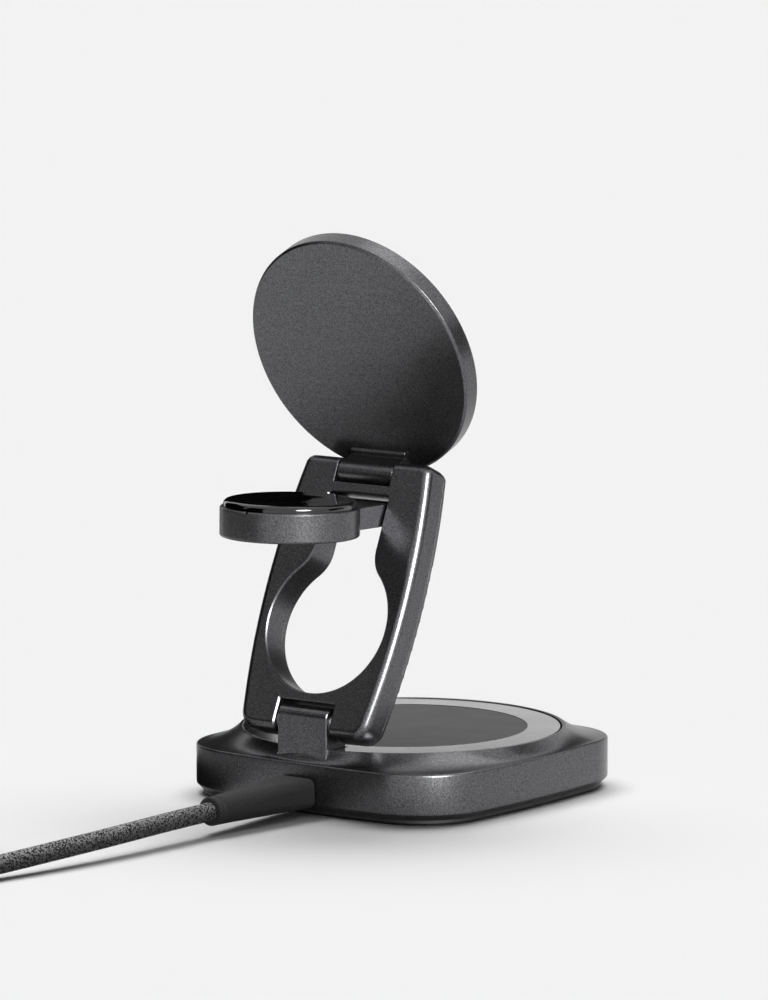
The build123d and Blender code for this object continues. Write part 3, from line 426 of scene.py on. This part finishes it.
controlPoints = np.vstack([cordRoute, coilPoints(cordSizes, cordRoute[-1])])
cordLine = nurbsLine("cordLine", controlPoints, cordSizes["resolution"])
cord, cordLength = cordTube("braidedCord", cordLine, cordSizes["radius"], cordSizes["around"])
farTurn = math.radians(cordSizes["farBearing"])
farAlong = (-math.sin(farTurn), math.cos(farTurn), 0.0)     # from the nose back to the collar
farAcross = (math.cos(farTurn), math.sin(farTurn), 0.0)
plugLength = plugSizes["taperLength"] + plugSizes["collarLength"]
farCollar = np.array([*cordSizes["coilMiddle"], cordSizes["farHeight"]])
farCollar = farCollar + cordSizes["turnRadii"][2] * np.array(farAcross)
nearNose = np.array(cordSizes["exit"]) - (0, plugLength, 0)
farNose = farCollar - plugLength * np.array(farAlong)
nearPlug = ringSkin("nearOvermould", overmould(nearNose, (0, 1, 0), (-1, 0, 0), plugSizes)[::-1])
farPlug = ringSkin("farOvermould", overmould(farNose, farAlong, farAcross, plugSizes))
for plug, node in ((nearPlug, "near_plug"), (farPlug, "far_plug")):
    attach(plug, "base")
    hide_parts(node)

# Strap: hook and loop tape round the coil's section, its tail lapped over the top
strapSizes = {
    "bearing": 100.0,         # degrees, on the coil
    "halfWidth": 4.0 * mm,
    "thickness": 0.8 * mm,
    "edgeRound": 0.25 * mm,
    "insideHalf": (6.77 * mm, 6.3 * mm),   # room for the coil's section, across and up
    "cornerRound": 1.6 * mm,
    "coilBottom": 0.8 * mm,
    "lap": 9.0 * mm,          # tail past one whole turn
    "lapRise": 3.0 * mm,      # stretch over which the tail climbs onto the first layer
    "steps": 150,
    "perCorner": 12,
    "perEdge": 4,
}


# Path of the strap's middle: a rounded rectangle walked by its arc length, past one turn by the lap, where it
# rides one thickness further out; the section is a flat bar with rounded edges
def strapRings(sizes, coilMiddle, coilRadius):
    half = sizes["thickness"] / 2
    a, b = (room + half for room in sizes["insideHalf"])
    r = sizes["cornerRound"] + half
    perCorner, perEdge = sizes["perCorner"], sizes["perEdge"]
    turn = np.concatenate([q * np.pi / 2 + np.linspace(0, np.pi / 2, perCorner) for q in range(4)])
    signX = np.repeat([1, -1, -1, 1], perCorner)
    signY = np.repeat([1, 1, -1, -1], perCorner)
    loop = np.column_stack([r * np.cos(turn) + signX * (a - r), r * np.sin(turn) + signY * (b - r)])
    outward = np.column_stack([np.cos(turn), np.sin(turn)])
    loop = np.roll(loop, -(perCorner // 2), axis=0)
    outward = np.roll(outward, -(perCorner // 2), axis=0)
    loop = np.vstack([loop, loop[:1]])
    outward = np.vstack([outward, outward[:1]])
    walked = np.concatenate([[0], np.cumsum(np.linalg.norm(np.diff(loop, axis=0), axis=1))])
    s = np.linspace(0, walked[-1] + sizes["lap"], sizes["steps"])
    onLoop = s % walked[-1]
    point = np.column_stack([np.interp(onLoop, walked, loop[:, i]) for i in (0, 1)])
    normal = np.column_stack([np.interp(onLoop, walked, outward[:, i]) for i in (0, 1)])
    normal /= np.linalg.norm(normal, axis=1, keepdims=True)
    lift = np.clip((s - walked[-1]) / sizes["lapRise"] + 1, 0, 1)
    point = point + normal * (sizes["thickness"] * lift ** 2 * (3 - 2 * lift))[:, None]
    e = sizes["edgeRound"]
    bend = np.concatenate([q * np.pi / 2 + np.linspace(0, np.pi / 2, perEdge) for q in range(4)])
    acrossTape = e * np.cos(bend) + np.repeat([1, -1, -1, 1], perEdge) * (sizes["halfWidth"] - e)
    throughTape = e * np.sin(bend) + np.repeat([1, 1, -1, -1], perEdge) * (half - e)
    out = np.array([math.cos(math.radians(sizes["bearing"])), math.sin(math.radians(sizes["bearing"])), 0])
    aside = np.array([-out[1], out[0], 0])
    up = np.array([0, 0, 1.0])
    centre = np.array([*coilMiddle, sizes["coilBottom"] + sizes["insideHalf"][1]]) + out * coilRadius
    middle = centre + point[:, :1] * out + point[:, 1:] * up
    facing = normal[:, :1] * out + normal[:, 1:] * up
    return middle[:, None] + acrossTape[:, None] * aside + throughTape[:, None] * facing[:, None]


strap = ringSkin("strapTape", strapRings(strapSizes, cordSizes["coilMiddle"], cordSizes["turnRadii"][1]))
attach(strap, "base")
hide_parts("cord_tie")
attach(cord, "base")
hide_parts("cord_tube", "cord_coil")
print("stage: cord", round(cordLength, 3), "m, and its plugs")


# shared by all grained skins: each contrast is the band of noise that is stretched from one end to the other
grainShape = {
    "detail": 2.0,
    "breakup": 0.65,
    "contrast": (0.32, 0.68),
    "cloudDetail": 3.0,
    "cloudContrast": (0.3, 0.7),
    "edgeSamples": 6,
}


# A skin of fine grain: two colours mixed by the grain, roughness by a slower cloud, relief by the grain, and
# edges caught by the light as a narrow round where the look names one. In a colour Mix node, sockets 6 and 7
# are the two colours and output 2 is the mixed one
def grainedSkin(name, look):
    material, tree = startMaterial(name)
    place = addNode(tree, "ShaderNodeTexCoord")
    grain = addNode(
        tree, "ShaderNodeTexNoise",
        values={
            "Scale": 1 / look["grain"],
            "Detail": grainShape["detail"],
            "Roughness": grainShape["breakup"],
        },
        links={"Vector": place.outputs["Object"]},
    )
    cloud = addNode(
        tree, "ShaderNodeTexNoise",
        values={"Scale": 1 / look["cloud"], "Detail": grainShape["cloudDetail"]},
        links={"Vector": place.outputs["Object"]},
    )
    low, high = grainShape["contrast"]
    specks = addNode(
        tree, "ShaderNodeMapRange",
        values={"From Min": low, "From Max": high},
        links={"Value": grain.outputs["Fac"]},
    )
    colour = addNode(
        tree, "ShaderNodeMix", {"data_type": "RGBA"},
        values={6: toLinear(look["dark"]), 7: toLinear(look["pale"])},
        links={0: specks.outputs["Result"]},
    )
    low, high = grainShape["cloudContrast"]
    smooth, rough = look["roughness"]
    spread = addNode(
        tree, "ShaderNodeMapRange",
        values={"From Min": low, "From Max": high, "To Min": smooth, "To Max": rough},
        links={"Value": cloud.outputs["Fac"]},
    )
    relief = addNode(
        tree, "ShaderNodeBump",
        values={"Strength": look["relief"], "Distance": look["depth"]},
        links={"Height": grain.outputs["Fac"]},
    )
    if "edge" in look:
        edge = addNode(
            tree, "ShaderNodeBevel", {"samples": grainShape["edgeSamples"]},
            values={"Radius": look["edge"]},
        )
        tree.links.new(edge.outputs["Normal"], relief.inputs["Normal"])
    endMaterial(tree, look["shader"], {
        "Base Color": colour.outputs[2],
        "Roughness": spread.outputs["Result"],
        "Normal": relief.outputs["Normal"],
    })
    return material


# Aluminium, bead-blasted and anodised dark grey: a soft metal sheen broken by tiny bright and dark specks.
# The grit leaves marks of about 0.1 mm, drawn coarser here so that they show
blastedAluminium = grainedSkin("blastedAnodisedAluminium", {
    "dark": "#48484a", "pale": "#747476", "grain": 0.34 * mm, "cloud": 14.0 * mm,
    "roughness": (0.28, 0.34), "relief": 0.22, "depth": 0.03 * mm, "edge": 0.22 * mm,
    "shader": {"Metallic": 1.0},
})

# Aluminium ring, finely blasted, anodised and sealed: the same grey, smoother, under a clear oxide layer that
# mirrors more at a low angle, so the ring looks pale from the side
satinRing = grainedSkin("satinAnodisedAluminium", {
    "dark": "#525254", "pale": "#6c6c6e", "grain": 0.3 * mm, "cloud": 12.0 * mm,
    "roughness": (0.24, 0.3), "relief": 0.15, "depth": 0.02 * mm, "edge": 0.12 * mm,
    "shader": {"Metallic": 1.0, "Coat Weight": 0.9, "Coat Roughness": 0.2, "Coat IOR": 1.65},
})

# Polycarbonate inlay with a spark-eroded texture: flat, even dark grey with a dry sheen
erodedPolycarbonate = grainedSkin("erodedPolycarbonate", {
    "dark": "#333334", "pale": "#424243", "grain": 0.3 * mm, "cloud": 10.0 * mm,
    "roughness": (0.5, 0.6), "relief": 0.3, "depth": 0.02 * mm,
    "shader": {"IOR": 1.58},
})

# Silicone, pressed against a fine-ground mould: soft, velvety and almost black
pressedSilicone = grainedSkin("pressedSilicone", {
    "dark": "#28282a", "pale": "#343436", "grain": 0.35 * mm, "cloud": 8.0 * mm,
    "roughness": (0.62, 0.72), "relief": 0.25, "depth": 0.02 * mm,
    "shader": {"IOR": 1.41, "Sheen Weight": 0.15, "Sheen Roughness": 0.5},
})

# Silicone foot, moulded: dull black with a little dust in its pores
mouldedSiliconeFoot = grainedSkin("mouldedSiliconeFoot", {
    "dark": "#161617", "pale": "#222223", "grain": 0.5 * mm, "cloud": 6.0 * mm,
    "roughness": (0.7, 0.8), "relief": 0.3, "depth": 0.03 * mm,
    "shader": {"IOR": 1.41},
})

# Glass-filled nylon, moulded: black with faint paler fibres at its skin
mouldedNylon = grainedSkin("glassFilledNylon", {
    "dark": "#1c1c1d", "pale": "#2c2c2d", "grain": 0.6 * mm, "cloud": 5.0 * mm,
    "roughness": (0.45, 0.58), "relief": 0.2, "depth": 0.02 * mm,
    "shader": {"IOR": 1.53},
})

# Polycarbonate head, polished mould: deep gloss black that mirrors the room
polishedPolycarbonate = grainedSkin("polishedPolycarbonate", {
    "dark": "#0b0b0c", "pale": "#101011", "grain": 1.5 * mm, "cloud": 9.0 * mm,
    "roughness": (0.08, 0.12), "relief": 0.02, "depth": 0.01 * mm,
    "shader": {"IOR": 1.58, "Coat Weight": 0.4, "Coat Roughness": 0.05},
})

# Thermoplastic elastomer on the plugs, moulded in a blasted tool: a soft-touch black that greys where it
# faces light
softTouchElastomer = grainedSkin("softTouchElastomer", {
    "dark": "#404041", "pale": "#525253", "grain": 0.4 * mm, "cloud": 7.0 * mm,
    "roughness": (0.62, 0.72), "relief": 0.3, "depth": 0.03 * mm,
    "shader": {"IOR": 1.45, "Specular IOR Level": 0.25},
})

# Steel shells, drawn and nickel plated: bright, slightly warm mirror with drawing marks
nickelPlatedSteel = grainedSkin("nickelPlatedSteel", {
    "dark": "#a8a6a2", "pale": "#c4c2be", "grain": 0.4 * mm, "cloud": 4.0 * mm,
    "roughness": (0.2, 0.3), "relief": 0.05, "depth": 0.01 * mm,
    "shader": {"Metallic": 1.0},
})

# Steel pins, screws and washers, ground and passivated: plain grey metal with a fine tooth
groundSteel = grainedSkin("groundSteel", {
    "dark": "#8c8c8e", "pale": "#b0b0b2", "grain": 0.25 * mm, "cloud": 3.0 * mm,
    "roughness": (0.28, 0.4), "relief": 0.15, "depth": 0.01 * mm,
    "shader": {"Metallic": 1.0},
})

# Iron ballast, sawn and zinc plated: blue-grey spangle, dull
zincPlatedIron = grainedSkin("zincPlatedIron", {
    "dark": "#7b7d80", "pale": "#a3a5a8", "grain": 2.5 * mm, "cloud": 8.0 * mm,
    "roughness": (0.4, 0.55), "relief": 0.1, "depth": 0.03 * mm,
    "shader": {"Metallic": 1.0},
})

# Copper wire, enamelled and wound: reddish metal under a clear brown varnish
enamelledCopper = grainedSkin("enamelledCopper", {
    "dark": "#9a5a34", "pale": "#c87a4a", "grain": 0.5 * mm, "cloud": 4.0 * mm,
    "roughness": (0.25, 0.35), "relief": 0.3, "depth": 0.05 * mm,
    "shader": {"Metallic": 1.0, "Coat Weight": 0.5},
})

# Ferrite sheet, sintered: charcoal ceramic with a mineral glint
sinteredFerrite = grainedSkin("sinteredFerrite", {
    "dark": "#2c2c2e", "pale": "#424246", "grain": 0.4 * mm, "cloud": 5.0 * mm,
    "roughness": (0.55, 0.7), "relief": 0.25, "depth": 0.02 * mm,
    "shader": {"IOR": 2.2},
})

# Circuit board, glass-epoxy under solder mask: green lacquer over a faint weave
solderMask = grainedSkin("solderMaskedBoard", {
    "dark": "#0d3a22", "pale": "#16502f", "grain": 0.7 * mm, "cloud": 4.0 * mm,
    "roughness": (0.3, 0.4), "relief": 0.1, "depth": 0.02 * mm,
    "shader": {"IOR": 1.5, "Coat Weight": 0.3},
})

# Chips, moulded epoxy: matt near-black with a sandy skin
mouldedEpoxy = grainedSkin("mouldedEpoxy", {
    "dark": "#171718", "pale": "#262627", "grain": 0.2 * mm, "cloud": 2.0 * mm,
    "roughness": (0.6, 0.75), "relief": 0.3, "depth": 0.02 * mm,
    "shader": {"IOR": 1.55},
})

# Magnets, sintered and nickel plated: soft silvery mirror
nickelPlatedMagnet = grainedSkin("nickelPlatedMagnet", {
    "dark": "#9c9c9e", "pale": "#bcbcbe", "grain": 0.6 * mm, "cloud": 3.0 * mm,
    "roughness": (0.22, 0.32), "relief": 0.05, "depth": 0.01 * mm,
    "shader": {"Metallic": 1.0},
})

# Hook and loop tape, woven nylon: fuzzy black loops with a pale nap
loopTape = grainedSkin("wovenLoopTape", {
    "dark": "#121213", "pale": "#323234", "grain": 0.5 * mm, "cloud": 3.0 * mm,
    "roughness": (0.8, 0.9), "relief": 0.8, "depth": 0.15 * mm,
    "shader": {"IOR": 1.5, "Sheen Weight": 0.5, "Sheen Roughness": 0.4},
})

braidLook = {
    "carriers": 30,           # strands each way round the cord
    "pitch": 13.2 * mm,       # of one strand's full turn
    "dark": "#1e1e1f",
    "pale": "#dcdcdd",
    "heather": (0.24, 0.82),  # band of the random tone that goes from dark yarn to pale
    "paintedCrownLight": 1.2,         # painted highlight: a strand's colour is made paler along its crown
    # painted shade: the share of the colour left at a strand's edges, where it dives under its neighbours
    "paintedEdgeShade": 0.4,
    "relief": 0.16 * mm,
    "reliefStrength": 0.9,
    "shader": {"Roughness": 0.8, "Specular IOR Level": 0.2},
}


# Polyester yarn, braided over the cord: strands cross at about 45 degrees, one over one, in a heather of dark
# and pale yarn. In the UV, a and b count strands each way; a cell's parity says which one is on top. Each
# strand's colour also carries a painted highlight along its crown and painted shade at its edges
def braidedPolyester(look):
    material, tree = startMaterial("braidedPolyester")
    place = addNode(tree, "ShaderNodeUVMap", {"uv_map": "cordUv"})
    parts = addNode(tree, "ShaderNodeSeparateXYZ", links={0: place.outputs["UV"]})
    # each step: its name, the operation, and its inputs, which are numbers or earlier steps
    steps = [
        ("along", "MULTIPLY", "x", look["carriers"] / look["pitch"]),
        ("around", "MULTIPLY", "y", look["carriers"]),
        ("a", "ADD", "around", "along"),
        ("b", "SUBTRACT", "around", "along"),
        ("cellA", "FLOOR", "a"),
        ("cellB", "FLOOR", "b"),
        ("cells", "ADD", "cellA", "cellB"),
        ("aOnTop", "FLOORED_MODULO", "cells", 2.0),
        ("bOnTop", "SUBTRACT", 1.0, "aOnTop"),
        ("crownA", "PINGPONG", "a", 0.5),
        ("crownB", "PINGPONG", "b", 0.5),
        ("shownA", "MULTIPLY", "crownA", "aOnTop"),
        ("shownB", "MULTIPLY", "crownB", "bOnTop"),
        ("crown", "ADD", "shownA", "shownB"),
        # the crown's height, scaled and raised, becomes a painted highlight on the crown and painted shade at
        # the strand's edges
        ("gained", "MULTIPLY", "crown", look["paintedCrownLight"]),
        ("shade", "ADD", "gained", look["paintedEdgeShade"]),
    ]
    made = {"x": parts.outputs["X"], "y": parts.outputs["Y"]}
    for step, operation, *inputs in steps:
        fixed = {i: given for i, given in enumerate(inputs) if not isinstance(given, str)}
        linked = {i: made[given] for i, given in enumerate(inputs) if isinstance(given, str)}
        made[step] = addNode(tree, "ShaderNodeMath", {"operation": operation}, fixed, linked).outputs[0]
    cell = addNode(tree, "ShaderNodeCombineXYZ", links={0: made["cellA"], 1: made["cellB"]})
    yarn = addNode(
        tree, "ShaderNodeTexWhiteNoise", {"noise_dimensions": "2D"},
        links={"Vector": cell.outputs[0]},
    )
    low, high = look["heather"]
    heather = addNode(
        tree, "ShaderNodeMapRange", {"interpolation_type": "SMOOTHSTEP"},
        values={"From Min": low, "From Max": high},
        links={"Value": yarn.outputs["Value"]},
    )
    # the yarn's random tone times the painted highlight and shade across each strand
    tone = addNode(
        tree, "ShaderNodeMath", {"operation": "MULTIPLY"},
        links={0: heather.outputs["Result"], 1: made["shade"]},
    )
    colour = addNode(
        tree, "ShaderNodeMix", {"data_type": "RGBA"},
        values={6: toLinear(look["dark"]), 7: toLinear(look["pale"])},
        links={0: tone.outputs[0]},
    )
    bump = addNode(
        tree, "ShaderNodeBump",
        values={"Strength": look["reliefStrength"], "Distance": look["relief"]},
        links={"Height": made["crown"]},
    )
    endMaterial(tree, look["shader"], {
        "Base Color": colour.outputs[2],
        "Normal": bump.outputs["Normal"],
    })
    return material


# Finishes by material slot, with the few nodes that differ from their slot
slotFinish = {
    "anodised_aluminium": blastedAluminium,
    "pad_surface": erodedPolycarbonate,
    "phone_surface": pressedSilicone,
    "foot_rubber": mouldedSiliconeFoot,
    "bottom_plastic": mouldedNylon,
    "steel": groundSteel,
    "ballast_iron": zincPlatedIron,
    "copper_wire": enamelledCopper,
    "ferrite": sinteredFerrite,
    "board": solderMask,
    "chip_black": mouldedEpoxy,
    "magnet_nickel": nickelPlatedMagnet,
    "watch_gloss": polishedPolycarbonate,
    "plug_black": softTouchElastomer,
    "cord_braid": braidedPolyester(braidLook),
    "tie_strap": loopTape,
}
nodeFinish = {
    "pad_ring": satinRing,
    "near_plug_shell": nickelPlatedSteel,
    "far_plug_shell": nickelPlatedSteel,
    "receptacle_shell": nickelPlatedSteel,
}
subparts = frame["record"]["subparts"]
finished = [(nodes[part["node"]], part["node"], part["material_slot"]) for part in subparts]
finished += [(housing, "", "anodised_aluminium"), (nearPlug, "", "plug_black"), (farPlug, "", "plug_black")]
finished += [(cord, "", "cord_braid"), (strap, "", "tie_strap")]
for piece, node, slot in finished:
    piece.data.materials.clear()
    piece.data.materials.append(nodeFinish.get(node, slotFinish[slot]))
print("stage: finishes on", len(finished), "pieces")

# Floor, surround and light: pale paper, an even surround, broad lamps, and dark cards for the metal to mirror
stageLook = {
    "paper": "#f2f2f2",       # as the eye and the metal see it
    "bounce": "#545454",      # as it throws light back at matt surfaces
    "fill": 0.1,              # surround's share of the light on matt surfaces
    "floorHalf": 12.0,        # metres
    "card": "#0c0c0d",
    "cardColumns": 33,
}
# dark cards: bearings in degrees, measured as the camera's, then reach and height of the lower and upper edge
# in metres; the gap card is low, so that light comes over it onto the arm's back
cardLook = {
    "leftCard": {"bearings": (75.0, 134.5), "reach": (0.45, 0.45), "heights": (0.0005, 0.42)},
    "gapCard": {"bearings": (134.5, 141.0), "reach": (0.45, 0.45), "heights": (0.0005, 0.12)},
    "backCard": {"bearings": (141.0, 172.0), "reach": (0.45, 0.45), "heights": (0.0005, 0.42)},
    "lowCard": {"bearings": (95.0, 149.0), "reach": (0.05, 0.126), "heights": (0.0005, 0.0005)},
    "rightCard": {"bearings": (288.0, 324.0), "reach": (0.9, 0.9), "heights": (0.1, 0.42)},
    "cornerCard": {"bearings": (50.0, 80.0), "reach": (0.145, 0.145), "heights": (0.018, 0.055)},
    "farCard": {"bearings": (-20.0, 75.0), "reach": (0.145, 0.145), "heights": (0.055, 0.14)},
}


# one for the rays that show the stage itself, to the eye, in metal or through glass, and nought for the rest
def seenRays(tree):
    path = addNode(tree, "ShaderNodeLightPath")
    mirrored = addNode(
        tree, "ShaderNodeMath", {"operation": "MAXIMUM"},
        links={0: path.outputs["Is Glossy Ray"], 1: path.outputs["Is Transmission Ray"]},
    )
    seen = addNode(
        tree, "ShaderNodeMath", {"operation": "MAXIMUM"},
        links={0: path.outputs["Is Camera Ray"], 1: mirrored.outputs[0]},
    )
    return seen.outputs[0]


edge = stageLook["floorHalf"]
corners = [(-edge, -edge, 0), (edge, -edge, 0), (edge, edge, 0), (-edge, edge, 0)]
floor = meshPiece("floor", corners, [(0, 1, 2, 3)])
# paper, uncoated: dead matt and even; it shows pale, and throws less light back up at matt surfaces
uncoatedPaper, paperTree = startMaterial("uncoatedPaper")
paperColour = addNode(
    paperTree, "ShaderNodeMix", {"data_type": "RGBA"},
    values={6: toLinear(stageLook["bounce"]), 7: toLinear(stageLook["paper"])},
    links={0: seenRays(paperTree)},
)
endMaterial(paperTree, {"Roughness": 1.0, "Specular IOR Level": 0.0}, {"Base Color": paperColour.outputs[2]})
floor.data.materials.append(uncoatedPaper)

# cards, black flocked: each is part of a cone about the object, takes in light and shows only in reflections
flockedCard, cardTree = startMaterial("blackFlockedCard")
cardShader = {"Base Color": toLinear(stageLook["card"]), "Roughness": 1.0, "Specular IOR Level": 0.0}
endMaterial(cardTree, cardShader, {})
columns = stageLook["cardColumns"]
for name, look in cardLook.items():
    cardTurn = np.radians(np.linspace(*look["bearings"], columns))
    cardRing = np.column_stack([np.sin(cardTurn), -np.cos(cardTurn)])
    cardPoints = np.stack([
        np.column_stack([cardRing * r, np.full(columns, z)]) for r, z in zip(look["reach"], look["heights"])
    ])
    card = meshPiece(name, cardPoints, gridFaces(2, columns, wrap=False))
    for ray in ("camera", "diffuse", "transmission", "shadow", "volume_scatter"):
        setattr(card, "visible_" + ray, False)
    card.data.materials.append(flockedCard)

world = bpy.data.worlds.new("paleSurround")
scene.world = world
world.use_nodes = True
worldTree = world.node_tree
worldTree.nodes.clear()
surround = toLinear(stageLook["paper"])
fill = addNode(worldTree, "ShaderNodeBackground", values={"Color": surround, "Strength": stageLook["fill"]})
shown = addNode(worldTree, "ShaderNodeBackground", values={"Color": surround, "Strength": 1.0})
mixed = addNode(
    worldTree, "ShaderNodeMixShader",
    links={0: seenRays(worldTree), 1: fill.outputs[0], 2: shown.outputs[0]},
)
addNode(worldTree, "ShaderNodeOutputWorld", links={"Surface": mixed.outputs[0]})

# broad lamps, as far soft boxes: a row of them beyond the object lights matt surfaces and throws the shadow,
# and the side and top ones are only mirrored; bearing as the camera's, height and breadth in degrees, strength
rowLamp = {"height": 64.0, "breadth": 30.0, "strength": 0.64, "hidden": "glossy"}
lamps = {f"rowLamp{turn}": {"bearing": turn, **rowLamp} for turn in (-23, 7, 37, 67, 97)}
lamps["sideLamp"] = {"bearing": 243, "height": 25.0, "breadth": 24.0, "strength": 6.0, "hidden": "diffuse"}
lamps["topLamp"] = {"bearing": 0, "height": 62.0, "breadth": 36.0, "strength": 0.4, "hidden": "diffuse"}
for name, look in lamps.items():
    lamp = bpy.data.lights.new(name, "SUN")
    lamp.energy = look["strength"]
    lamp.angle = math.radians(look["breadth"])
    holder = bpy.data.objects.new(name, lamp)
    scene.collection.objects.link(holder)
    setattr(holder, "visible_" + look["hidden"], False)
    holder.rotation_mode = "QUATERNION"
    holder.rotation_quaternion = towards(look["bearing"], look["height"]).to_track_quat("Z", "Y")
print("stage: floor and light")

scene.view_settings.view_transform = "Standard"
